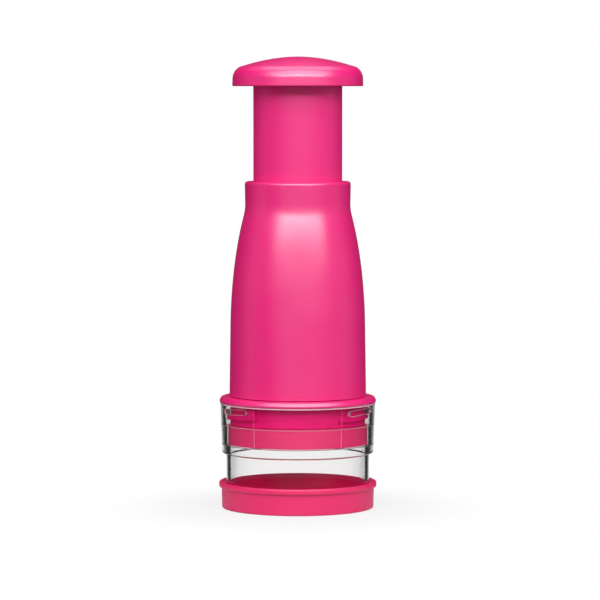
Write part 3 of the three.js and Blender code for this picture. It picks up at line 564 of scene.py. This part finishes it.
def fold_corners():
    """Corners of the blade's folds, so that each rounded fold reaches the blade's circle."""
    spread = BLADE_REACH * BLADE_SPREAD_SHARE
    xs = [spread * (2 * i / BLADE_LEGS - 1) for i in range(BLADE_LEGS + 1)]
    tips = [math.sqrt((BLADE_REACH - BLADE_THICKNESS) ** 2 - x * x) for x in xs]
    corners = list(tips)
    for _ in range(CORNER_ROUNDS):
        found = list(corners)
        for i in range(1, BLADE_LEGS):
            run = (xs[i + 1] - xs[i - 1]) / 2
            rise = corners[i] + (corners[i - 1] + corners[i + 1]) / 2
            found[i] = tips[i] + BLADE_BEND / math.sin(math.atan(run / rise)) - BLADE_BEND
        corners = found
    return [
        (x, corners[i] * (1 if i % 2 else -1), BLADE_BEND if 0 < i < BLADE_LEGS else 0)
        for i, x in enumerate(xs)
    ]


def strip_sides(half, longer=0):
    """Both sides of the folded strip at a half thickness, each from one end to the other."""
    line = rounded(fold_corners(), BLADE_BEND_STEPS, closed=False)
    sides = []
    for sign in (1, -1):
        side = []
        for i, point in enumerate(line):
            into = (point - line[i - 1]) if i else line[1] - point
            away = (line[i + 1] - point) if i + 1 < len(line) else into
            into, away = into.normalized(), away.normalized()
            along = (into + away).normalized()
            offset = Vector((-along.y, along.x)) * sign * half / max(along.dot(away), LEAST_MITRE)
            stretch = -longer if i == 0 else longer if i + 1 == len(line) else 0
            side.append(point + offset + along * stretch)
        sides.append(side)
    return sides


def zigzag_blade():
    """The folded strip with its ground edge."""
    ground = [(BLADE_EDGE + rise, half) for rise, half in BLADE_GRINDING]
    form = bmesh.new()
    loops = []
    for level, half in [(BLADE_TOP, BLADE_THICKNESS / 2), *ground]:
        left, right = strip_sides(half)
        loops.append([form.verts.new(Vector((p.x, p.y, level)) * MM) for p in left + right[::-1]])
    count = len(loops[0])
    for high, low in zip(loops, loops[1:]):
        for k in range(count):
            n = (k + 1) % count
            form.faces.new((high[k], high[n], low[n], low[k]))
    for loop in (loops[0], loops[-1]):
        for k in range(count // 2 - 1):
            form.faces.new((loop[k], loop[k + 1], loop[count - 2 - k], loop[count - 1 - k]))
    bmesh.ops.recalc_face_normals(form, faces=form.faces)
    return shape("zigzag_blade_strip", form)


# Housing

def shoulder_line():
    """The housing's shoulder, from its ledge up to the neck, as a cubic curve."""
    tall = NECK_BOTTOM - HOUSING_LEDGE_TOP
    slope = BODY_TAPER / (HOUSING_LEDGE_TOP - HOUSING_BOTTOM)
    start = Vector((HOUSING_RADIUS - BODY_TAPER, HOUSING_LEDGE_TOP))
    first = start + Vector((-slope, 1)) * tall * BODY_REACH_SHARE
    last = Vector((NECK_RADIUS, NECK_BOTTOM))
    second = last + Vector((SHOULDER_SLOPE_SHARE, -1)) * tall * SHOULDER_REACH_SHARE
    points = []
    for i in range(SHOULDER_STEPS + 1):
        t = i / SHOULDER_STEPS
        s = 1 - t
        points.append(start * s ** 3 + first * 3 * s * s * t + second * 3 * s * t * t + last * t ** 3)
    return points


def radius_at(line, height):
    """The radius of a rising line at a height."""
    after = next(i for i in range(1, len(line)) if line[i].y >= height - SMALL)
    low, high = line[after - 1], line[after]
    share = (height - low.y) / (high.y - low.y)
    return low.x + (high.x - low.x) * share


def housing_shell():
    """The bottle-shaped shell with its neck, its lip round the tube and its ledge over the frame."""
    flare = 0.3
    lip_bore = TUBE_RADIUS + RUN_GAP
    lip_bottom = NECK_TOP - 2.2
    top_bore = HOUSING_BORE - 0.5
    line = shoulder_line()
    outside = [(p.x, p.y) for p in line if p.y < NECK_BOTTOM - NECK_BLEND_ROOM]
    tall = NECK_SEAT - HOUSING_LEDGE_TOP
    heights = [NECK_SEAT - tall * i / INNER_STEPS for i in range(INNER_STEPS + 1)]
    inside = [(radius_at(line, height) - HOUSING_WALL, height) for height in heights]
    return shape("housing_shell_body", turned([
        (HOUSING_RADIUS, HOUSING_BOTTOM, 0.2),
        *outside,
        (NECK_RADIUS, NECK_BOTTOM, NECK_BLEND),
        (NECK_RADIUS + flare, NECK_TOP, 1.6),
        (lip_bore, NECK_TOP, 0.8),
        (lip_bore, lip_bottom),
        (NECK_BORE, lip_bottom),
        (NECK_BORE, NECK_SEAT),
        *inside,
        (SPIGOT_BORE, HOUSING_LEDGE_TOP),
        (SPIGOT_BORE, HOUSING_LEDGE_BOTTOM),
        (top_bore, HOUSING_LEDGE_BOTTOM),
        (HOUSING_BORE, HOUSING_BOTTOM),
    ], steps=HOUSING_ARC_STEPS))


# Plunger and spring

def plunger_tube():
    """The tube with its stop flange, and the web that takes the spindle and the spring."""
    flange_radius = 27.33
    flange_top = TUBE_BOTTOM + 3.0
    web_hole = 3.4
    return shape("plunger_tube_body", turned([
        (TUBE_BORE, TUBE_BOTTOM),
        (flange_radius, TUBE_BOTTOM, 0.5),
        (flange_radius, flange_top, 0.2),
        (TUBE_RADIUS, flange_top, 0.4),
        (TUBE_RADIUS, TUBE_TOP, 0.5),
        (TUBE_BORE, TUBE_TOP),
        (TUBE_BORE, WEB_TOP),
        (web_hole, WEB_TOP, 0.3),
        (web_hole, WEB_BOTTOM, 0.3),
        (TUBE_BORE, WEB_BOTTOM),
    ]))


def crown(inset):
    """The knob's crown from the axis outwards, stopping short of its rounded shoulder."""
    radius = CROWN_RADIUS - inset
    shares = [CROWN_SHARE * i / CROWN_STEPS for i in range(CROWN_STEPS + 1)]
    return [(radius * share, KNOB_TOP - inset - CROWN_DROP * share ** CROWN_POWER) for share in shares]


def dome(inset, edge):
    """The knob's side view from the axis to its lower edge, at an inset from its outer face."""
    radius = KNOB_RADIUS - inset
    top = KNOB_TOP - inset
    shoulder = [(radius - inwards, top - down, rounding) for inwards, down, rounding in KNOB_SHOULDER]
    return [*crown(inset), *shoulder, (radius, KNOB_BOTTOM, edge)]


def knob_rib(angle, start, end):
    """An upright plate between the sleeve and the shell."""
    half = 0.7
    low = KNOB_BOTTOM + 6.5
    high = KNOB_TOP - 6.8
    along = Vector((math.cos(angle), math.sin(angle)))
    across = Vector((-math.sin(angle), math.cos(angle)))
    corners = [along * r + across * s for r, s in ((start, -half), (end, -half), (end, half), (start, half))]
    return prism([tuple(corner) for corner in corners], low, high)


def knob():
    """The hollow knob, its sleeve round the tube and the ribs between them."""
    sleeve_bore = TUBE_RADIUS + SEAT_GAP
    sleeve_radius = sleeve_bore + 2.0
    sleeve_bottom = KNOB_BOTTOM + 1.6
    rib_start = sleeve_radius - 1.0
    rib_end = KNOB_RADIUS - 3.6
    shell = turned([*dome(0, 0.7), *reversed(dome(KNOB_WALL, 0.5))])
    sleeve = turned([
        (sleeve_bore, sleeve_bottom, 0.3),
        (sleeve_radius, sleeve_bottom, 0.4),
        (sleeve_radius, KNOB_TOP - 5.0),
        (sleeve_bore, KNOB_TOP - 4.6),
    ])
    angles = [math.radians(360 / KNOB_RIBS * k) for k in range(KNOB_RIBS)]
    ribs = [knob_rib(angle, rib_start, rib_end) for angle in angles]
    return shape("knob_cap", together(shell, sleeve, *ribs))


def spring_line():
    """Points along the return spring, whose end turns are closed up."""
    pitch = SPRING_WIRE + SPRING_END_GAP
    bottom = SPRING_BOTTOM + SPRING_WIRE / 2
    top = SPRING_TOP - SPRING_WIRE / 2
    open_pitch = (top - bottom - 2 * pitch) / (SPRING_TURNS - 2)
    count = SPRING_TURNS * SPRING_TURN_STEPS
    line = []
    for i in range(count + 1):
        turn = SPRING_TURNS * i / count
        closed = min(turn, 1) + max(turn - SPRING_TURNS + 1, 0)
        height = bottom + pitch * closed + open_pitch * (turn - closed)
        angle = 2 * math.pi * turn
        line.append(Vector((SPRING_RADIUS * math.cos(angle), SPRING_RADIUS * math.sin(angle), height)))
    return line


def return_spring():
    """The coil spring that lifts the plunger."""
    return shape("return_spring_wire", tube(spring_line(), SPRING_WIRE / 2, WIRE_SIDES))


# Parts of materials

def node(tree, kind, **inputs):
    """A shader node with values for its named inputs."""
    made = tree.nodes.new(kind)
    for name, value in inputs.items():
        made.inputs[name.replace("_", " ")].default_value = value
    return made


def surface(name):
    """A material with a Principled shader, and the object's own coordinates for its patterns."""
    material = bpy.data.materials.new(name)
    material.use_nodes = True
    tree = material.node_tree
    tree.nodes.clear()
    output = tree.nodes.new("ShaderNodeOutputMaterial")
    shader = tree.nodes.new("ShaderNodeBsdfPrincipled")
    tree.links.new(shader.outputs[0], output.inputs[0])
    place = tree.nodes.new("ShaderNodeTexCoord").outputs["Object"]
    return material, tree, shader, place


def mix_in(tree, shader, other, share):
    """Another shader over a material's own, by a share of zero to one."""
    output = next(n for n in tree.nodes if n.type == "OUTPUT_MATERIAL")
    mix = tree.nodes.new("ShaderNodeMixShader")
    tree.links.new(share, mix.inputs[0])
    tree.links.new(shader.outputs[0], mix.inputs[1])
    tree.links.new(other.outputs[0], mix.inputs[2])
    tree.links.new(mix.outputs[0], output.inputs[0])


def noise(tree, place, scale, detail, stretch=None):
    """A noise pattern from zero to one, which can be stretched along the object's axes."""
    if stretch:
        mapping = tree.nodes.new("ShaderNodeMapping")
        mapping.inputs["Scale"].default_value = stretch
        tree.links.new(place, mapping.inputs["Vector"])
        place = mapping.outputs[0]
    made = node(tree, "ShaderNodeTexNoise", Scale=scale, Detail=detail)
    tree.links.new(place, made.inputs["Vector"])
    return made.outputs["Fac"]


def ranged(tree, value, low, high, start=0.1, end=0.9):
    """A smooth change from low to high while a value goes from start to end."""
    made = node(tree, "ShaderNodeMapRange", To_Min=low, To_Max=high, From_Min=start, From_Max=end)
    made.interpolation_type = "SMOOTHERSTEP"
    tree.links.new(value, made.inputs["Value"])
    return made.outputs[0]


def blended(tree, value, first, second):
    """A smooth change from one colour to another with a pattern."""
    ramp = tree.nodes.new("ShaderNodeValToRGB")
    ramp.color_ramp.interpolation = "EASE"
    for stop, place, colour in zip(ramp.color_ramp.elements, (0.1, 0.9), (first, second)):
        stop.position = place
        stop.color = (*colour, 1)
    tree.links.new(value, ramp.inputs[0])
    return ramp.outputs[0]


def bumped(tree, shader, height, distance, strength):
    """Bumps on a shader's normal."""
    bump = node(tree, "ShaderNodeBump", Strength=strength, Distance=distance)
    tree.links.new(height, bump.inputs["Height"])
    tree.links.new(bump.outputs[0], shader.inputs["Normal"])


# Materials

def moulded(name, colour, shade_colour, rough, gloss=0.5):
    """Moulded plastic with a slow change of tone, a varying roughness and faint orange peel."""
    spread = 0.04
    material, tree, shader, place = surface(name)
    tone = noise(tree, place, scale=14, detail=2)
    tree.links.new(blended(tree, tone, colour, shade_colour), shader.inputs["Base Color"])
    patches = noise(tree, place, scale=60, detail=4)
    tree.links.new(ranged(tree, patches, rough - spread, rough + spread), shader.inputs["Roughness"])
    peel = noise(tree, place, scale=500, detail=1)
    bumped(tree, shader, peel, distance=0.00001, strength=0.1)
    shader.inputs["IOR"].default_value = 1.65
    shader.inputs["Specular IOR Level"].default_value = gloss
    return material


def clear(name, colour, rough, through, passed=0.76):
    """Clear moulded plastic with slight flow waves. Each face lets a share of the lamps' light pass."""
    material, tree, shader, place = surface(name)
    waves = noise(tree, place, scale=55, detail=1, stretch=(1, 1, 0.4))
    bumped(tree, shader, waves, distance=0.00003, strength=0.12)
    shader.inputs["Roughness"].default_value = rough
    shader.inputs["Base Color"].default_value = (*colour, 1)
    shader.inputs["Transmission Weight"].default_value = through
    shader.inputs["IOR"].default_value = 1.5
    passing = node(tree, "ShaderNodeBsdfTransparent", Color=(passed, passed, passed, 1))
    to_a_lamp = tree.nodes.new("ShaderNodeLightPath").outputs["Is Shadow Ray"]
    mix_in(tree, shader, passing, to_a_lamp)
    return material


def steel(name, colour, rough, stretch):
    """Bright steel with drawn or ground lines, darker and smoother where their pattern is low."""
    darker = tuple(c * 0.86 for c in colour)
    smoothest = rough - 0.06
    roughest = rough + 0.08
    material, tree, shader, place = surface(name)
    lines = noise(tree, place, scale=500, detail=3, stretch=stretch)
    tree.links.new(blended(tree, lines, darker, colour), shader.inputs["Base Color"])
    tree.links.new(ranged(tree, lines, smoothest, roughest), shader.inputs["Roughness"])
    bumped(tree, shader, lines, distance=0.00001, strength=0.3)
    shader.inputs["Metallic"].default_value = 1
    return material


pink = moulded("glossy_pink", (0.72, 0.0075, 0.168), (0.71, 0.007, 0.162), rough=0.32, gloss=1.0)
tube_pink = moulded("tube_pink", (0.69, 0.0065, 0.168), (0.68, 0.006, 0.162), rough=0.5, gloss=0.48)
base_pink = moulded("base_pink", (0.64, 0.0065, 0.106), (0.63, 0.006, 0.101), rough=0.42)
# Painted light: a lighter copy of the collar's pink, without gloss, for its faces inside the cup, standing in
# for light lost through the cup's wall
collar_pink_painted_light = moulded("collar_pink_painted_light", (0.79, 0.010, 0.17), (0.78, 0.009, 0.165), rough=0.7, gloss=0.0)
# Painted light: a much lighter copy of the base's pink for the base's inside, standing in for light that
# hardly reaches it
base_inner_painted_light = moulded("base_inner_painted_light", (0.84, 0.009, 0.120), (0.83, 0.008, 0.115), rough=0.7, gloss=0.0)
pale_pink = moulded("satin_pink", (0.76, 0.029, 0.155), (0.75, 0.026, 0.149), rough=0.4, gloss=0.3)
bearing = moulded("bearing_white", (0.80, 0.79, 0.75), (0.76, 0.75, 0.71), rough=0.42)
ivory = moulded("frame_white", (0.74, 0.73, 0.69), (0.70, 0.69, 0.65), rough=0.48)
crystal = clear("clear_plastic", (0.995, 0.995, 0.995), rough=0.0, through=1.0)
# Painted glint: the cup's edge faces are half an opaque pale pink, standing in for light and the pink collar
# caught in the clear edges
painted_glint_edges = clear("clear_edges_painted_glint", (1.0, 0.60, 0.74), rough=0.35, through=0.5)
clear_foot = clear("clear_foot", (0.995, 0.995, 0.995), rough=0.0, through=1.0, passed=1.0)
blade_steel = steel("ground_steel", (0.72, 0.73, 0.75), rough=0.18, stretch=(1, 1, 0.05))
wire_steel = steel("drawn_wire", (0.55, 0.56, 0.58), rough=0.35, stretch=(1, 1, 1))
plain_steel = steel("turned_steel", (0.66, 0.67, 0.69), rough=0.35, stretch=(1, 1, 4))


# Pieces that replace the faceted solids

replacements = [
    (base_cap(), "base_cap", "base", base_pink, "base_pink"),
    (chopping_cup(), "chopping_cup", "cup", crystal, "cup_clear"),
    (housing_shell(), "housing_shell", "housing", pink, "housing_pink"),
    (bayonet_collar(), "bayonet_collar", "housing", pink, "collar_pink"),
    (wiper_ring(), "wiper_ring", "housing", pale_pink, "ring_pink"),
    (return_spring(), "return_spring", "housing", wire_steel, "spring_steel"),
    (plunger_tube(), "plunger_tube", "plunger", tube_pink, "tube_pink"),
    (knob(), "knob", "plunger", pink, "knob_pink"),
    (zigzag_blade(), "zigzag_blade", "blade_unit", blade_steel, "blade_steel"),
    (wiper_disc(), "wiper_disc", "wiper", pale_pink, "disc_pink"),
]
for piece, solid, body, material, slot in replacements:
    piece.data.materials.clear()
    piece.data.materials.append(material)
    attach(piece, body)
    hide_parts(solid)


def second_finish(name, material, chosen):
    """Another finish on the faces of a piece that a test picks."""
    mesh = bpy.data.objects[name].data
    mesh.materials.append(material)
    for face in mesh.polygons:
        if chosen(face):
            face.material_index = len(mesh.materials) - 1


def within(low, high, reach):
    """A test for faces between two levels and inside a radius."""
    return lambda face: low * MM < face.center.z < high * MM and math.hypot(*face.center.xy) < reach * MM


base_inside = within(BASE_FLOOR - 0.2, BASE_HEIGHT - 2.0, BASE_BORE + 0.35)
collar_inside_cup = within(COLLAR_MOUTH_BOTTOM - 1.0, FLANGE_BOTTOM - 0.1, RIB_RADIUS + 2.1)
cup_under_step = within(CUP_FOOT - 0.5, CUP_STEP - 0.7, CUP_RIM_RADIUS + 3.0)
# Painted light on the base's inside: its faces take the lighter copy of the pink
second_finish("base_cap_shell", base_inner_painted_light, base_inside)
# Painted light on the collar inside the cup: its faces take the lighter copy of the pink
second_finish("bayonet_collar_shell", collar_pink_painted_light, collar_inside_cup)
# Painted glint on the cup's edge faces
second_finish("chopping_cup_clear", painted_glint_edges, gets_painted_glint)
second_finish("chopping_cup_clear", clear_foot, cup_under_step)

spring = bpy.data.objects["return_spring_wire"]
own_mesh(spring)


# Solids that keep their shape

kept = {
    "neck_bush": bearing,
    "guide_frame": ivory,
    "ratchet_nut": bearing,
    "nut_spring": wire_steel,
    "nut_cap": ivory,
    "spring_washer": plain_steel,
    "thrust_washer": plain_steel,
    "helix_spindle": bearing,
    "retaining_washer": plain_steel,
    "spindle_screw": plain_steel,
    "blade_carrier": ivory,
    "carrier_pin": plain_steel,
}
for name, material in kept.items():
    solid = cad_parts[name]
    solid.data.materials.clear()
    solid.data.materials.append(material)


# Floor and background, in metres

def calculated(tree, operation, first, second, clamped=True):
    """A Math node on two values or sockets."""
    made = tree.nodes.new("ShaderNodeMath")
    made.operation = operation
    made.use_clamp = clamped
    for socket, value in zip(made.inputs, (first, second)):
        if isinstance(value, (int, float)):
            socket.default_value = value
        else:
            tree.links.new(value, socket)
    return made.outputs[0]


def straight(tree):
    """One for rays from the camera, also through clear plastic, that no surface has turned back."""
    path = tree.nodes.new("ShaderNodeLightPath")
    turned_back = calculated(tree, "ADD", path.outputs["Glossy Depth"], path.outputs["Diffuse Depth"])
    through = calculated(tree, "SUBTRACT", path.outputs["Is Transmission Ray"], turned_back)
    return calculated(tree, "MAXIMUM", path.outputs["Is Camera Ray"], through)


def stage_floor():
    """A pale disc under the object that takes its shadow and fades into the white background."""
    radius = 0.13
    level = -0.0002
    sides = 96
    mesh = bpy.data.meshes.new("floor")
    form = bmesh.new()
    rim = [2 * math.pi * k / sides for k in range(sides)]
    form.faces.new([form.verts.new((radius * math.cos(a), radius * math.sin(a), level)) for a in rim])
    form.to_mesh(mesh)
    form.free()
    floor = bpy.data.objects.new("floor", mesh)
    bpy.context.scene.collection.objects.link(floor)
    material, tree, shader, place = surface("pale_floor")
    shader.inputs["Base Color"].default_value = (0.5, 0.5, 0.5, 1)
    shader.inputs["Roughness"].default_value = 0.7
    shader.inputs["Specular IOR Level"].default_value = 0.1
    distance = tree.nodes.new("ShaderNodeVectorMath")
    distance.operation = "LENGTH"
    tree.links.new(place, distance.inputs[0])
    away = ranged(tree, distance.outputs["Value"], low=0.8, high=1.0, start=0.04, end=0.125)
    white = node(tree, "ShaderNodeEmission", Color=(1, 1, 1, 1), Strength=1.0)
    mix_in(tree, shader, white, calculated(tree, "MULTIPLY", away, straight(tree)))
    floor.data.materials.append(material)


def background():
    """White to the camera and straight through clear plastic, and soft light from the front for the rest."""
    world = bpy.data.worlds.new("studio")
    bpy.context.scene.world = world
    world.use_nodes = True
    tree = world.node_tree
    tree.nodes.clear()
    output = tree.nodes.new("ShaderNodeOutputWorld")
    place = tree.nodes.new("ShaderNodeTexCoord").outputs["Generated"]
    split = tree.nodes.new("ShaderNodeSeparateXYZ")
    tree.links.new(place, split.inputs[0])
    back, up = split.outputs["Y"], split.outputs["Z"]
    lobe = tree.nodes.new("ShaderNodeVectorMath")
    lobe.operation = "DOT_PRODUCT"
    aside = math.radians(10)
    lobe.inputs[1].default_value = (math.sin(aside), -math.cos(aside), 0)
    tree.links.new(place, lobe.inputs[0])
    ahead = lobe.outputs["Value"]
    path = tree.nodes.new("ShaderNodeLightPath")
    sharp = path.outputs["Is Singular Ray"]
    refracted = path.outputs["Is Transmission Ray"]

    # A panel in front, dimmer in what mirrors sharply, and a pale sky
    front = ranged(tree, ahead, low=0.0, high=1.0, start=0.2, end=0.98)
    soft = ranged(tree, sharp, low=0.25, high=0.15, start=0.0, end=1.0)
    front = calculated(tree, "MULTIPLY", front, soft)
    level = ranged(tree, calculated(tree, "ABSOLUTE", up, 0), low=1.0, high=0.0, start=0.12, end=0.36)
    sky = ranged(tree, up, low=0.03, high=0.3, start=0.45, end=0.98)
    light = calculated(tree, "MAXIMUM", calculated(tree, "MULTIPLY", front, level, False), sky, False)

    # Light from the front and above, for rays that leave the clear plastic that way
    upward = ranged(tree, up, low=0.0, high=1.0, start=0.03, end=0.3)
    returned = ranged(tree, ahead, low=0.0, high=1.0, start=0.2, end=0.9)
    returned = calculated(tree, "MULTIPLY", returned, upward)
    returned = calculated(tree, "SUBTRACT", returned, path.outputs["Diffuse Depth"])
    light = calculated(tree, "MAXIMUM", light, calculated(tree, "MULTIPLY", returned, refracted), False)

    # Light from behind, in what mirrors sharply
    behind = ranged(tree, back, low=0.0, high=1.0, start=0.92, end=0.99)
    mirrored = calculated(tree, "MULTIPLY", sharp, path.outputs["Is Glossy Ray"])
    light = calculated(tree, "MAXIMUM", light, calculated(tree, "MULTIPLY", behind, mirrored), False)

    shader = node(tree, "ShaderNodeBackground", Color=(1, 1, 1, 1))
    tree.links.new(calculated(tree, "MAXIMUM", light, straight(tree), False), shader.inputs["Strength"])
    tree.links.new(shader.outputs[0], output.inputs[0])


# Lamps and camera, in metres

def softbox(name, place, target, width, height, radiance, mirrored=True):
    """An elliptical lamp; one that isn't mirrored fills without a highlight."""
    data = bpy.data.lights.new(name, "AREA")
    data.shape = "ELLIPSE"
    data.size, data.size_y = width, height
    data.energy = radiance * math.pi * width * height * math.pi / 4
    lamp = bpy.data.objects.new(name, data)
    lamp.location = place
    lamp.rotation_mode = "QUATERNION"
    lamp.rotation_quaternion = (Vector(target) - Vector(place)).to_track_quat("-Z", "Y")
    lamp.visible_glossy = mirrored
    lamp.visible_transmission = mirrored
    bpy.context.scene.collection.objects.link(lamp)


def lamps():
    """Two boxes above the front, one overhead, and fills that leave no highlight."""
    softbox("front_box", (0.08, -0.94, 0.70), (0, 0, 0.15), width=2.4, height=0.25, radiance=8.3)
    softbox("high_box", (0.05, -0.66, 1.06), (0, 0, 0.2), width=2.8, height=0.56, radiance=2.9)
    softbox("top_box", (0.02, 0.25, 1.10), (0.02, 0.25, 0.2), width=1.0, height=1.1, radiance=1.5)
    softbox("low_fill", (0.0, -1.1, 0.24), (0, 0, 0.03), 2.0, 0.23, radiance=2.4, mirrored=False)
    softbox("back_fill", (0.0, 1.1, 0.3), (0, 0, 0.12), 1.5, 0.9, radiance=1.5, mirrored=False)
    for side in (-1, 1):
        softbox("side_fill", (side * 1.1, -0.05, 0.2), (0, 0, 0.12), 0.9, 0.9, radiance=1.9, mirrored=False)


def viewpoint():
    """A camera a little above the middle, looking slightly down."""
    down = 3.67  # degrees
    data = bpy.data.cameras.new("camera")
    data.sensor_width = 36
    data.lens = 200
    data.clip_end = 60
    camera = bpy.data.objects.new("camera", data)
    camera.location = (0.0012, -1.793, 0.2271)
    camera.rotation_euler = (math.radians(90 - down), 0, 0)
    bpy.context.scene.collection.objects.link(camera)
    bpy.context.scene.camera = camera


stage_floor()
background()
lamps()
viewpoint()
bpy.context.scene.view_settings.view_transform = "Standard"
